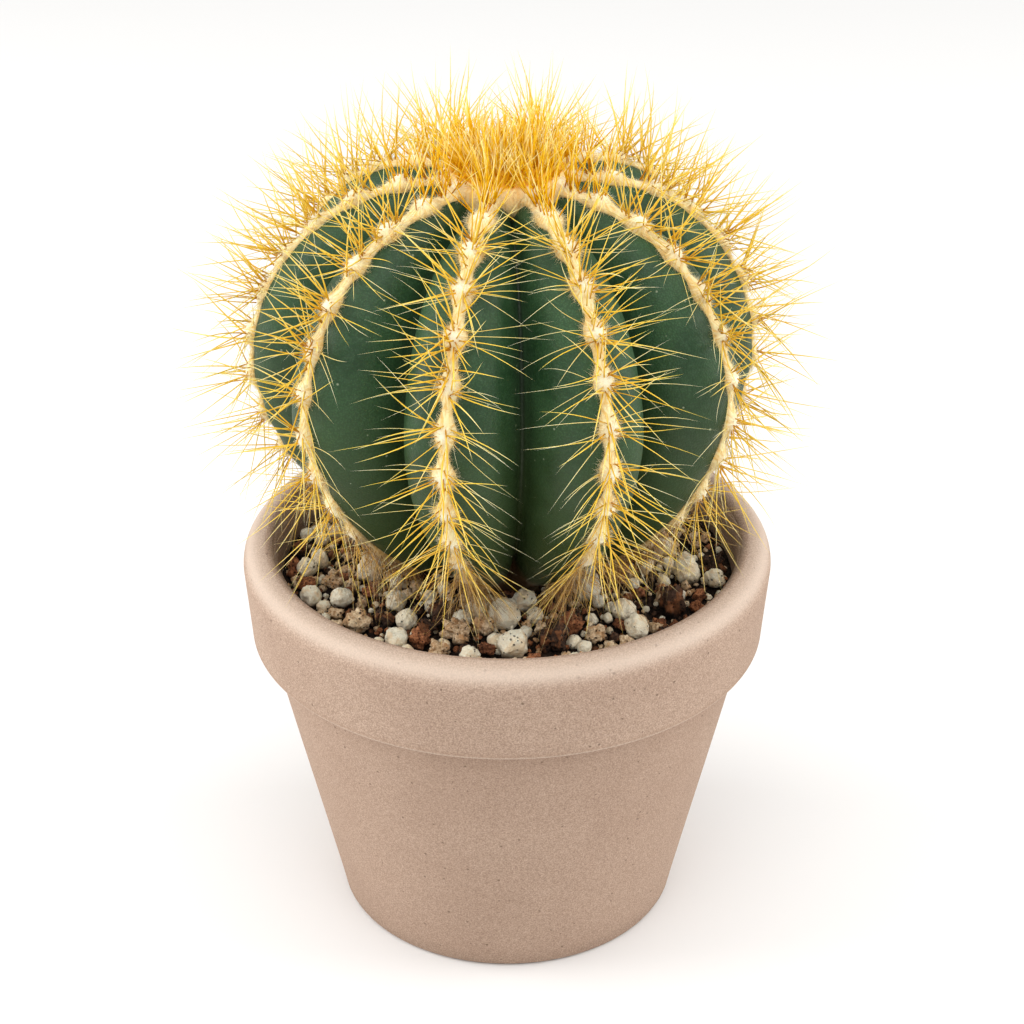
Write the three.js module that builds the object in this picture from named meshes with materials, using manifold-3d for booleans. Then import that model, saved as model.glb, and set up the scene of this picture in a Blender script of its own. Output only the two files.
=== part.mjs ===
// A round ribbed cactus with golden spines, growing in an unglazed clay pot of gritty soil.
// Millimetres, +Z up. The origin is the middle of the pot's underside and the front is -Y.

import * as THREE from 'three';
import { mergeVertices } from 'three/addons/utils/BufferGeometryUtils.js';
import Module from 'manifold-3d';

const wasm = await Module();
wasm.setup();

// ---- driving dimensions ----

const GAP = 0.3; // clearance kept between one piece and the next

// Clay pot: a tapered wall under a tall plain rim band.
const POT_HEIGHT = 93.4;
const RIM_BAND = 22.7; // height of the rim band
const RIM_TOP_RADIUS = 60;
const RIM_LOW_RADIUS = 58.6;
const WALL_TOP_RADIUS = 54.9;
const BASE_RADIUS = 39.3;
const WALL_THICKNESS = 5;
const FLOOR_THICKNESS = 7;
const LIP_ROUND = 5.3; // radius of the rim's outer top edge
const MOUTH_RADIUS = 52.8; // inside edge of the lip
const EDGE_ROUND = 1.5; // base corner and the rim's lower edge
const DRAIN_RADIUS = 7.5;
const POT_SIDES = 48;

// Gritty soil: an uneven top with stones set in it, and a plain hole for the foot of the stem.
const SOIL_LEVEL = 84.6;
const SOIL_UNEVEN = 0.9;
const SOIL_SIDES = 32;
const SOIL_TOP_RINGS = 2;
const STONE_COUNT = 66;
const STONE_SMALL = 2.2; // stone half-sizes
const STONE_LARGE = 4;
const STONE_RISE = 0.3; // how far a stone's middle lies above the soil, as a share of its half-size
const STONE_FLATNESS = 0.82;
const STONE_TRIES = 60;
const GRIT_TOP = 89.4; // no stone reaches above this

// Stem: ten ribs on a flattened globe with a short corky foot in the soil.
const RIBS = 10;
const FIRST_RIB = -13.2; // degrees from the front
const STEM_MIDDLE = 139.3; // height of the widest level
const CREST = { radius: 54, rise: 40.1, fall: 54.5 };
const GROOVE = { radius: 37, rise: 35, fall: 50 };
const ROUNDNESS = { topRadius: 0.62, topHeight: 1.13, footRadius: 1.12, footHeight: 1.15 };
const RIB_FULLNESS = [0.2, 0.6, 0.5, 0, 0.4, -0.3, 0.1, 0.6, 1.4, 0.9]; // each rib beyond the even globe
const FLANK_POWER = 3; // how full the flanks of a rib are
const FLANK_STEPS = [0.42, 0.76];
const CREST_FLAT = 2; // half-width of the flat along each crest
const STEM_LEVELS = 22;
const STEM_START = THREE.MathUtils.degToRad(5);
const STEM_END = THREE.MathUtils.degToRad(157);
const APEX_HEIGHT = 177;
const FOOT_RADIUS = 11.4;
const FOOT_DEPTH = 24; // how far the foot goes down into the soil
const FOOT_TAPER = 0.55;

// Areoles: felted wool along each crest, widest at the areoles.
const AREOLES = 12; // on each rib
const BAND_START = THREE.MathUtils.degToRad(9.4);
const BAND_END = THREE.MathUtils.degToRad(150);
const BAND_SEAT = 0.5; // underside of the felt above the crest
const WIDE = { half: 3.1, height: 2.3 };
const NARROW = { half: 1.8, height: 1.6 };
const CAP_RADIUS = 15.2; // felt over the crown
const CAP_EDGE = 1.6;
const CAP_RISE = 3;
const CAP_SIDES = 20;

// Spines: three-sided needles, rooted in the felt.
const SPINE_HALF = 0.42;
const SPINE_ROOT = 1.15; // height of the root above the crest
const SPINES_PER_AREOLE = 5;
const SPINE_LENGTH = [14.5, 19.5];
const SPINE_TILT = [18, 68]; // degrees away from straight out
const SPINE_DROOP = 0.75; // downward lean at the foot of the stem
const SPINE_TRIES = 40;
const SPINE_CLEAR = 0.75; // between spines of different ribs, and to the crown and the grit
const REACH_RADIUS = 71.5;
const REACH_HEIGHT = 201;
const CROWN_SPINES = 64;
const CROWN_LENGTH = [15.5, 20.5];
const CROWN_LEAN = 26; // degrees at the edge of the crown
const CROWN_CONE = { radius: 15.5, height: 179, spread: 0.5 }; // the crown's own space

const SECTOR = Math.PI / RIBS; // half the angle from one crest to the next
const UP = new THREE.Vector3(0, 1, 0); // the way a cone geometry points
const AXIS = new THREE.Vector3(0, 0, 1);

// ---- helpers ----

function seededRandom(seed) {
  let state = seed >>> 0;
  return () => {
    state = (state + 0x6d2b79f5) >>> 0;
    let mixed = Math.imul(state ^ (state >>> 15), 1 | state);
    mixed = (mixed + Math.imul(mixed ^ (mixed >>> 7), 61 | mixed)) ^ mixed;
    return ((mixed ^ (mixed >>> 14)) >>> 0) / 4294967296;
  };
}

function between([low, high], share) {
  return low + (high - low) * share;
}

function around(radius, angle, height) {
  return new THREE.Vector3(radius * Math.sin(angle), -radius * Math.cos(angle), height);
}

// A closed skin over rings of equal length, from a start point to an end point.
function skin(rings, start, end) {
  const width = rings[0].length;
  const points = [start, ...rings.flat(), end];
  const last = points.length - 1;
  const at = (ring, place) => 1 + ring * width + (place % width);
  const index = [];
  for (let place = 0; place < width; place += 1) {
    index.push(0, at(0, place), at(0, place + 1));
    for (let ring = 0; ring < rings.length - 1; ring += 1) {
      index.push(at(ring, place), at(ring + 1, place), at(ring + 1, place + 1));
      index.push(at(ring, place), at(ring + 1, place + 1), at(ring, place + 1));
    }
    index.push(last, at(rings.length - 1, place + 1), at(rings.length - 1, place));
  }
  const geometry = new THREE.BufferGeometry().setFromPoints(points);
  geometry.setIndex(index);
  return geometry;
}

// A lathe about +Z from [radius, height] pairs that run from the bottom outwards and up.
function turned(profile, sides) {
  const points = profile.map(([radius, height]) => new THREE.Vector2(radius, height));
  return new THREE.LatheGeometry(points, sides).rotateX(Math.PI / 2);
}

function arc(middle, radius, from, to, steps) {
  const points = [];
  for (let step = 0; step <= steps; step += 1) {
    const angle = THREE.MathUtils.degToRad(from + ((to - from) * step) / steps);
    points.push([middle[0] + radius * Math.cos(angle), middle[1] + radius * Math.sin(angle)]);
  }
  return points;
}

function solid(geometry) {
  const bare = new THREE.BufferGeometry();
  bare.setAttribute('position', geometry.getAttribute('position'));
  bare.setIndex(geometry.getIndex());
  const merged = mergeVertices(bare, 1e-4);
  const corners = merged.getIndex().array;
  const kept = [];
  for (let place = 0; place < corners.length; place += 3) {
    const [a, b, c] = corners.slice(place, place + 3);
    if (a !== b && b !== c && c !== a) kept.push(a, b, c);
  }
  return new wasm.Manifold(new wasm.Mesh({
    numProp: 3,
    vertProperties: merged.getAttribute('position').array,
    triVerts: Uint32Array.from(kept),
  }));
}

function fused(body, repeats) {
  const whole = repeats.reduce((sum, repeat) => sum.add(solid(repeat)), solid(body));
  const mesh = whole.getMesh();
  const geometry = new THREE.BufferGeometry();
  geometry.setAttribute('position', new THREE.BufferAttribute(mesh.vertProperties, 3));
  geometry.setIndex(new THREE.BufferAttribute(mesh.triVerts, 1));
  return geometry;
}

// ---- clay pot ----

function potInnerRadius(height) {
  const bottom = BASE_RADIUS - WALL_THICKNESS;
  const top = WALL_TOP_RADIUS - WALL_THICKNESS;
  const bandFoot = POT_HEIGHT - RIM_BAND;
  if (height <= bandFoot) return bottom + ((top - bottom) * height) / bandFoot;
  return top + ((MOUTH_RADIUS - top) * (height - bandFoot)) / RIM_BAND;
}

function potGeometry() {
  const bandFoot = POT_HEIGHT - RIM_BAND;
  const lipHigh = [RIM_TOP_RADIUS - LIP_ROUND, POT_HEIGHT - LIP_ROUND];
  const innerLip = (RIM_TOP_RADIUS - LIP_ROUND - MOUTH_RADIUS) / 2;
  const profile = [
    [DRAIN_RADIUS, 0],
    ...arc([BASE_RADIUS - EDGE_ROUND, EDGE_ROUND], EDGE_ROUND, -90, -10, 2),
    [WALL_TOP_RADIUS, bandFoot],
    ...arc([RIM_LOW_RADIUS - EDGE_ROUND, bandFoot + EDGE_ROUND], EDGE_ROUND, -90, 0, 2),
    ...arc(lipHigh, LIP_ROUND, 0, 90, 4),
    [MOUTH_RADIUS + innerLip / 2, POT_HEIGHT - innerLip / 2],
    [MOUTH_RADIUS, POT_HEIGHT - innerLip * 2],
    [potInnerRadius(bandFoot), bandFoot],
    [potInnerRadius(FLOOR_THICKNESS), FLOOR_THICKNESS],
    [DRAIN_RADIUS, FLOOR_THICKNESS],
    [DRAIN_RADIUS, 0],
  ];
  return turned(profile, POT_SIDES);
}

// ---- gritty soil ----

function footRadius(height) {
  const down = (SOIL_LEVEL - height) / FOOT_DEPTH;
  return FOOT_RADIUS * (1 - (1 - FOOT_TAPER) * THREE.MathUtils.clamp(down, 0, 1));
}

function soilGeometry(random) {
  const outside = (height) => (potInnerRadius(height) - GAP) * Math.cos(Math.PI / POT_SIDES) - GAP;
  const ringAt = (radius, height) => {
    const places = Array.from({ length: SOIL_SIDES }, (_, side) => (2 * Math.PI * side) / SOIL_SIDES);
    return places.map((angle) => around(radius, angle, height()));
  };
  const level = (height) => () => height;
  const uneven = () => SOIL_LEVEL + SOIL_UNEVEN * (random() - 0.5);
  const bandFoot = POT_HEIGHT - RIM_BAND;
  const bottom = FLOOR_THICKNESS + GAP;
  const edge = outside(SOIL_LEVEL);
  const hole = FOOT_RADIUS + 2 * GAP;
  const holeFloor = SOIL_LEVEL - FOOT_DEPTH - 2 * GAP;
  const rings = [ringAt(footRadius(holeFloor) + 2 * GAP, level(holeFloor)), ringAt(hole, level(SOIL_LEVEL))];
  for (let ring = 1; ring <= SOIL_TOP_RINGS; ring += 1) {
    rings.push(ringAt(hole + ((edge - hole) * ring) / (SOIL_TOP_RINGS + 1), uneven));
  }
  rings.push(ringAt(edge, level(SOIL_LEVEL)));
  rings.push(ringAt(outside(bandFoot), level(bandFoot)));
  rings.push(ringAt(outside(bottom), level(bottom)));
  return skin(rings, new THREE.Vector3(0, 0, holeFloor), new THREE.Vector3(0, 0, bottom));
}

// A stone: twenty faces, stretched, turned and knocked slightly out of round.
function stoneGeometry(random, place, half) {
  const stone = new THREE.IcosahedronGeometry(half, 0);
  const stretch = [1, 1, 1].map(() => 0.85 + 0.3 * random());
  const turn = new THREE.Euler(Math.PI * random(), Math.PI * random(), Math.PI * random());
  stone.applyMatrix4(new THREE.Matrix4().makeRotationFromEuler(turn));
  stone.scale(stretch[0], stretch[1], stretch[2] * STONE_FLATNESS);
  stone.computeBoundingBox();
  const top = SOIL_LEVEL + STONE_RISE * half + stone.boundingBox.max.z;
  return stone.translate(place.x, place.y, place.z - Math.max(0, top - GRIT_TOP));
}

// Stones are dropped one by one, each at the first seeded place that is clear of the ones before.
function stoneGeometries(random) {
  const near = FOOT_RADIUS + 3 * GAP;
  const placed = [];
  const stones = [];
  for (let stone = 0; stone < STONE_COUNT; stone += 1) {
    const half = between([STONE_LARGE, STONE_SMALL], stone / STONE_COUNT);
    const far = potInnerRadius(SOIL_LEVEL) - 1.2 * half - 2 * GAP;
    for (let attempt = 0; attempt < STONE_TRIES; attempt += 1) {
      const radius = Math.sqrt(between([(near + 1.6 * half) ** 2, far ** 2], random()));
      const place = around(radius, 2 * Math.PI * random(), SOIL_LEVEL + STONE_RISE * half);
      if (placed.some((other) => place.distanceTo(other.place) < 0.95 * (half + other.half))) continue;
      placed.push({ place, half });
      stones.push(stoneGeometry(random, place, half));
      break;
    }
  }
  return stones;
}

// ---- stem ----

// Radius and height on the outline of the globe at an angle from its top.
function outline(size, angle) {
  const high = angle < Math.PI / 2;
  const radiusPower = high ? ROUNDNESS.topRadius : ROUNDNESS.footRadius;
  const heightPower = high ? ROUNDNESS.topHeight : ROUNDNESS.footHeight;
  const lift = Math.abs(Math.cos(angle)) ** heightPower;
  return {
    radius: size.radius * Math.sin(angle) ** radiusPower,
    height: STEM_MIDDLE + (high ? size.rise * lift : -size.fall * lift),
  };
}

// The outline along one rib's crest, as no two ribs are quite alike.
function crestOutline(rib, angle) {
  const { radius, height } = outline(CREST, angle);
  return { radius: radius + RIB_FULLNESS[rib] * Math.sin(angle), height };
}

// One level of the stem: a flat on each crest, full flanks and a sharp groove.
function stemRing(crestOf, groove) {
  const ring = [];
  for (let rib = 0; rib < RIBS; rib += 1) {
    const crest = crestOf(rib);
    const flank = (middle, share) => {
      const sink = Math.abs(share) ** FLANK_POWER;
      const radius = crest.radius + (groove.radius - crest.radius) * sink;
      const height = crest.height + (groove.height - crest.height) * sink;
      ring.push(around(radius, middle + share * SECTOR, height));
    };
    const middle = THREE.MathUtils.degToRad(FIRST_RIB) + 2 * SECTOR * rib;
    const flat = Math.atan2(CREST_FLAT, crest.radius);
    const flatRadius = Math.hypot(crest.radius, CREST_FLAT);
    const edge = flat / SECTOR;
    const steps = FLANK_STEPS.map((step) => edge + (1 - edge) * step);
    for (const step of [...steps].reverse()) flank(middle, -step);
    ring.push(around(flatRadius, middle - flat, crest.height));
    ring.push(around(flatRadius, middle + flat, crest.height));
    for (const step of [...steps, 1]) flank(middle, step);
  }
  return ring;
}

function stemGeometry() {
  const rings = [];
  for (let level = 0; level < STEM_LEVELS; level += 1) {
    const angle = between([STEM_START, STEM_END], level / (STEM_LEVELS - 1));
    rings.push(stemRing((rib) => crestOutline(rib, angle), outline(GROOVE, angle)));
  }
  for (const height of [SOIL_LEVEL + 2 * GAP, SOIL_LEVEL - FOOT_DEPTH / 2, SOIL_LEVEL - FOOT_DEPTH]) {
    const radius = footRadius(height) - GAP;
    rings.push(stemRing(() => ({ radius, height }), { radius: radius * 0.94, height }));
  }
  const apex = new THREE.Vector3(0, 0, APEX_HEIGHT);
  return skin(rings, apex, new THREE.Vector3(0, 0, SOIL_LEVEL - FOOT_DEPTH));
}

// ---- areoles: felt and spines ----

// The crest line of one rib from the crown to the foot, turned to face the front.
class CrestLine extends THREE.Curve {
  constructor(rib) {
    super();
    this.rib = rib;
  }

  getPoint(share) {
    const { radius, height } = crestOutline(this.rib, between([BAND_START, BAND_END], share));
    return new THREE.Vector3(0, -radius, height);
  }
}

function crestFrame(crestLine, share) {
  const origin = crestLine.getPointAt(share);
  const along = crestLine.getTangentAt(share);
  const out = new THREE.Vector3(0, along.z, -along.y);
  const side = new THREE.Vector3().crossVectors(along, out);
  const place = (across, high) => origin.clone().addScaledVector(side, across).addScaledVector(out, high);
  return { along, out, side, place };
}

function feltGeometry(crestLine) {
  const rings = [];
  const stations = 2 * AREOLES;
  for (let station = 0; station <= stations; station += 1) {
    const { place } = crestFrame(crestLine, station / stations);
    const { half, height } = station % 2 ? WIDE : NARROW;
    rings.push([
      place(-half, BAND_SEAT),
      place(half, BAND_SEAT),
      place(half / 2, height),
      place(-half / 2, height),
    ]);
  }
  const end = (share) => crestFrame(crestLine, share).place(0, (BAND_SEAT + NARROW.height) / 2);
  return skin(rings, end(0), end(1));
}

function spineGeometry(root, direction, length) {
  const spine = new THREE.ConeGeometry(SPINE_HALF, length, 3, 1);
  spine.translate(0, length / 2, 0);
  spine.applyQuaternion(new THREE.Quaternion().setFromUnitVectors(UP, direction));
  return spine.translate(root.x, root.y, root.z);
}

function outsideCrown(point) {
  const { radius, height, spread } = CROWN_CONE;
  const limit = radius + Math.max(0, point.z - height) * spread;
  return Math.hypot(point.x, point.y) > limit + SPINE_CLEAR;
}

// A spine keeps to its own rib's sector, clear of the crown's spines and above the grit.
function spineFits(root, direction, length) {
  const tip = root.clone().addScaledVector(direction, length);
  const lateral = -tip.y * Math.tan(SECTOR) - SPINE_CLEAR / Math.cos(SECTOR);
  const along = [0.25, 0.5, 0.75, 1].map((share) => root.clone().lerp(tip, share));
  return (
    Math.abs(tip.x) < lateral &&
    Math.hypot(tip.x, tip.y) < REACH_RADIUS &&
    tip.z < REACH_HEIGHT &&
    tip.z > GRIT_TOP + SPINE_CLEAR &&
    along.every(outsideCrown)
  );
}

function ribSpines(crestLine, random) {
  const spines = [];
  for (let areole = 0; areole < AREOLES; areole += 1) {
    const share = (2 * areole + 1) / (2 * AREOLES);
    const { along, out, side, place } = crestFrame(crestLine, share);
    const root = place(0, SPINE_ROOT);
    for (let spine = 0; spine < SPINES_PER_AREOLE; spine += 1) {
      for (let attempt = 0; attempt < SPINE_TRIES; attempt += 1) {
        const turn = (2 * Math.PI * (spine + random())) / SPINES_PER_AREOLE;
        const tilt = THREE.MathUtils.degToRad(between(SPINE_TILT, random()));
        const direction = out.clone().multiplyScalar(Math.cos(tilt));
        direction.addScaledVector(side, Math.sin(tilt) * Math.cos(turn));
        direction.addScaledVector(along, Math.sin(tilt) * Math.sin(turn));
        direction.addScaledVector(AXIS, -SPINE_DROOP * share ** 2).normalize();
        const length = between(SPINE_LENGTH, random());
        if (!spineFits(root, direction, length)) continue;
        spines.push(spineGeometry(root, direction, length));
        break;
      }
    }
  }
  return spines;
}

function capGeometry() {
  const seat = outline(CREST, STEM_START).height + BAND_SEAT;
  return turned([
    [0, seat],
    [CAP_RADIUS - CAP_EDGE / 2, seat],
    [CAP_RADIUS, seat + CAP_EDGE / 2],
    [CAP_RADIUS * 0.86, seat + CAP_EDGE],
    [CAP_RADIUS * 0.45, seat + CAP_RISE * 0.9],
    [0, seat + CAP_RISE],
  ], CAP_SIDES);
}

// The crown's spines stand in a sunflower's order and lean outwards towards its edge.
function crownSpines(random) {
  const root = outline(CREST, STEM_START).height + BAND_SEAT + CAP_EDGE / 2;
  const goldenAngle = Math.PI * (3 - Math.sqrt(5));
  const spines = [];
  for (let spine = 0; spine < CROWN_SPINES; spine += 1) {
    const share = Math.sqrt((spine + 0.5) / CROWN_SPINES);
    const angle = spine * goldenAngle;
    const lean = THREE.MathUtils.degToRad(CROWN_LEAN * share * (0.6 + 0.4 * random()));
    const direction = around(Math.sin(lean), angle, Math.cos(lean));
    const place = around((CAP_RADIUS - 2) * share, angle, root);
    spines.push(spineGeometry(place, direction, between(CROWN_LENGTH, random())));
  }
  return spines;
}

// ---- assembly ----

function piece(name, geometry, color, roughness) {
  const mesh = new THREE.Mesh(geometry, new THREE.MeshStandardMaterial({ color, roughness, metalness: 0 }));
  mesh.name = name;
  return mesh;
}

const plant = new THREE.Group();
plant.add(piece('pot', potGeometry(), 0xb89c86, 0.92));

const gritRandom = seededRandom(7);
plant.add(piece('gritty_soil', fused(soilGeometry(gritRandom), stoneGeometries(gritRandom)), 0x6b5443, 0.95));

const cactus = new THREE.Group();
cactus.add(piece('ribbed_stem', stemGeometry(), 0x4a6347, 0.6));
for (let rib = 0; rib < RIBS; rib += 1) {
  const name = `rib_areoles_${String(rib + 1).padStart(2, '0')}`;
  const line = new CrestLine(rib);
  const woolly = fused(feltGeometry(line), ribSpines(line, seededRandom(100 + rib)));
  const areoles = piece(name, woolly, 0xe2bb62, 0.8);
  areoles.rotation.z = THREE.MathUtils.degToRad(FIRST_RIB) + 2 * SECTOR * rib;
  cactus.add(areoles);
}
cactus.add(piece('crown_areoles', fused(capGeometry(), crownSpines(seededRandom(200))), 0xe0a63a, 0.8));
plant.add(cactus);

export default plant;
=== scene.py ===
"""A round golden-spined cactus in an unglazed clay pot of gritty soil, dressed for a studio picture.

Metres, +Z up, origin at the middle of the pot's underside, front towards -Y.
"""
import math

import bpy
import numpy as np
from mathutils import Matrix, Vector


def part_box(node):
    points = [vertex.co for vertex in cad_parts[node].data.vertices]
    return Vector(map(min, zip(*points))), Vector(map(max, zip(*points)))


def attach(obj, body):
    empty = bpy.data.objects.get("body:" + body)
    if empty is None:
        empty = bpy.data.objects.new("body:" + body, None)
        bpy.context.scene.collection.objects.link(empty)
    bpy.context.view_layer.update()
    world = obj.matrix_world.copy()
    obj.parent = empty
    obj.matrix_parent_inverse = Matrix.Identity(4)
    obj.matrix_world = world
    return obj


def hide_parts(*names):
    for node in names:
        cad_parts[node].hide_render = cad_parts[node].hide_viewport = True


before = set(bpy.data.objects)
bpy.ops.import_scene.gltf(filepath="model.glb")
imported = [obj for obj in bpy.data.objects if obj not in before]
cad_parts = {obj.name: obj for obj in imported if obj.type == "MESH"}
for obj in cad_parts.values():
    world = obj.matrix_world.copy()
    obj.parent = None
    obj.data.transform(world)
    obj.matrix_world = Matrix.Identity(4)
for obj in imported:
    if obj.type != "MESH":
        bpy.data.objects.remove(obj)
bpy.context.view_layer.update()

MM = 0.001
DEGREE = math.radians(1)
FULL_TURN = 2 * math.pi

# Places taken from the frame.
POT_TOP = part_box("pot")[1]
CROWN_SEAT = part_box("crown_areoles")[0].z
POT_HEIGHT = POT_TOP.z
RIM_RADIUS = POT_TOP.x

# Clay pot.
RIM_BAND = 22.7 * MM
RIM_LOW_RADIUS = 58.6 * MM
WALL_TOP_RADIUS = 54.9 * MM
BASE_RADIUS = 39.3 * MM
WALL_THICKNESS = 5 * MM
FLOOR_THICKNESS = 7 * MM
LIP_ROUND = 5.3 * MM
MOUTH_RADIUS = 52.8 * MM
EDGE_ROUND = 1.5 * MM
BAND_ROUND = 0.5 * MM
DRAIN_RADIUS = 7.5 * MM
POT_SIDES = 256
BAND_FOOT = POT_HEIGHT - RIM_BAND

# Soil and stones.
SOIL_LEVEL = 84.6 * MM
FOOT_RADIUS = 11.4 * MM
FOOT_DEPTH = 24 * MM
GAP = 0.3 * MM
SOIL_SIDES = 220
SOIL_RINGS = 60

# Stem: ribs round a globe, each line of it a power of the sine and cosine of the angle from the top.
RIBS = 10
FIRST_RIB = math.radians(-13.2)
SECTOR = math.pi / RIBS
STEM_MIDDLE = 139.3 * MM
CREST = {"radius": 54 * MM, "rise": 40.1 * MM, "fall": 54.5 * MM}
GROOVE = {"radius": 37 * MM, "rise": 35 * MM, "fall": 50 * MM}
RIB_FULLNESS = [0.2, 0.6, 0.5, 0, 0.4, -0.3, 0.1, 0.6, 1.4, 0.9]
FLANK_POWER = 3
FLANK_STEPS = 30
STEM_LEVELS = 200
STEM_START = math.radians(2.5)
STEM_END = math.radians(157)
APEX_HEIGHT = 177 * MM

# Felt and areoles along the crests, by outline angle.
AREOLES = 12
FELT_START = math.radians(4.5)
BAND_START = math.radians(9.4)
BAND_END = math.radians(150)
BAND_LENGTH = 118 * MM
FELT_STEPS = 17
FELT_SIDES = 18
FIBRES = {"length": 1.6 * MM, "thickness": 0.038 * MM, "parting": 1.0, "ruffle": 0.7}

# The crown's felt, and its tufts of stout and fine spines: how many, and how far from the axis.
CROWN_SIDES = 200
CROWN_LEVELS = 18
CROWN_RISE = 3.2 * MM
CROWN_DEPTH = 3.4 * MM
TUFTS = {"tuft": (250, 9.9 * MM), "fine_tuft": (330, 10.2 * MM)}

# The lowest that spines lie: on the grit, and over the pot's lip.
GRIT_TOP = 86.6 * MM
LIP_TOP = 94.0 * MM

# Studio: each softbox has its power (W), size and place.
SOFTBOXES = {
    "top_softbox": (5.9, (1.4, 1.2), (0.0, -0.35, 1.08)),
    "left_softbox": (6.8, (0.6, 0.7), (-0.95, 0.0, 0.45)),
    "right_softbox": (5.2, (0.6, 0.7), (0.95, 0.0, 0.45)),
    "front_softbox": (1.7, (0.9, 0.6), (0.0, -0.75, 0.95)),
}
LAMP_TARGET = (0, 0, 0.1)
BACKDROP_COLOUR = (1.0, 0.995, 0.985, 1.0)
BACKDROP_STRENGTH = 0.785
FLOOR_REACH = 6.0
SENSOR_WIDTH = 36
FOCAL_LENGTH = 92.18
CAMERA_AIM = Vector((1.13 * MM, 0.0, 98.5 * MM))
CAMERA_DISTANCE = 594 * MM
CAMERA_ELEVATION = math.radians(28.94)

# The stones that show in front, by kind: place across and away from the front, and half-width (mm).
FRONT_STONES = {
    "pumice": [
        (-0.6, -24.3, 3.9), (1.3, -36.5, 3.6), (3.8, -18.3, 2.9), (-22.0, -26.0, 2.6), (-24.7, -17.9, 2.6),
        (25.9, -22.2, 2.9), (28.5, -29.8, 3.0), (-7.9, -41.0, 2.4), (-24.1, -34.0, 2.7), (-36.8, -17.0, 2.6),
        (-45.5, -3.2, 2.7), (47.0, -8.2, 2.5),
    ],
    "tan_grit": [
        (-10.7, -31.5, 3.9), (-14.8, -38.5, 2.3), (19.5, -31.9, 2.5), (-32.9, -28.2, 3.3), (7.5, -29.8, 1.8),
    ],
    "red_lava": [
        (-18.9, -34.4, 2.9), (13.8, -28.6, 3.5), (-4.3, -37.7, 2.2), (-45.2, -10.9, 2.7),
        (-30.7, -14.0, 2.2),
    ],
    "dark_lava": [(36.7, -19.6, 4.2), (-17.5, -29.0, 2.4)],
}

# How a ball is worked into a stone: rounded pumice and broken grit.
ROUND_STONE = {"lump": 0.5, "chip": 0.16, "chip_scale": 1.9, "rough": 0.28, "boxy": 0.5}
BROKEN_STONE = {"lump": 1.0, "chip": 0.45, "chip_scale": 1.7, "rough": 0.8, "boxy": 1.1}

# Colours of each stone: dark and light tone, stain, and pores (whose colour also paints the shade low on
# each stone), with the share of its cells that bear a pore.
STONE_COLOURS = {
    "pumice": ((0.97, 0.84, 0.61), (1.0, 0.95, 0.78), (0.90, 0.66, 0.38), (0.09, 0.055, 0.03), 0.15),
    "tan_grit": ((0.40, 0.21, 0.09), (1.0, 0.80, 0.54), (0.58, 0.28, 0.10), (0.035, 0.02, 0.012), 0.5),
    "red_lava": ((0.09, 0.028, 0.013), (0.62, 0.25, 0.11), (0.06, 0.020, 0.011), (0.012, 0.006, 0.005), 0.5),
    "dark_lava": ((0.008, 0.005, 0.004), (0.11, 0.06, 0.038), (0.34, 0.13, 0.05),
                  (0.005, 0.003, 0.003), 0.5),
    "dark_soil": ((0.010, 0.006, 0.004), (0.035, 0.021, 0.014), (0.06, 0.034, 0.018),
                  (0.005, 0.003, 0.003), 0.5),
}

# Colours of each kind of spine: from root to tip, then towards the stem's foot, and its roughness.
SPINE_COLOURS = {
    "golden": ([(0.52, 0.23, 0.012), (0.70, 0.40, 0.026), (0.79, 0.52, 0.050), (0.83, 0.60, 0.10),
                (0.87, 0.71, 0.30)], (0.62, 0.38, 0.10), 0.45),
    "crown": ([(0.46, 0.18, 0.001), (0.64, 0.285, 0.001), (0.77, 0.415, 0.003), (0.86, 0.55, 0.022),
               (0.95, 0.77, 0.30)], (0.6, 0.4, 0.2), 0.45),
    "pale": ([(0.72, 0.45, 0.085), (0.82, 0.61, 0.17), (0.88, 0.71, 0.29), (0.92, 0.80, 0.45)],
             (0.64, 0.42, 0.15), 0.45),
    "old": ([(0.34, 0.155, 0.02), (0.52, 0.30, 0.06), (0.64, 0.42, 0.125), (0.76, 0.57, 0.25)],
            (0.42, 0.235, 0.065), 0.45),
    "withered": ([(0.20, 0.10, 0.03), (0.32, 0.18, 0.06), (0.44, 0.27, 0.11), (0.58, 0.40, 0.20)],
                 (0.28, 0.155, 0.055), 0.6),
}

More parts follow.
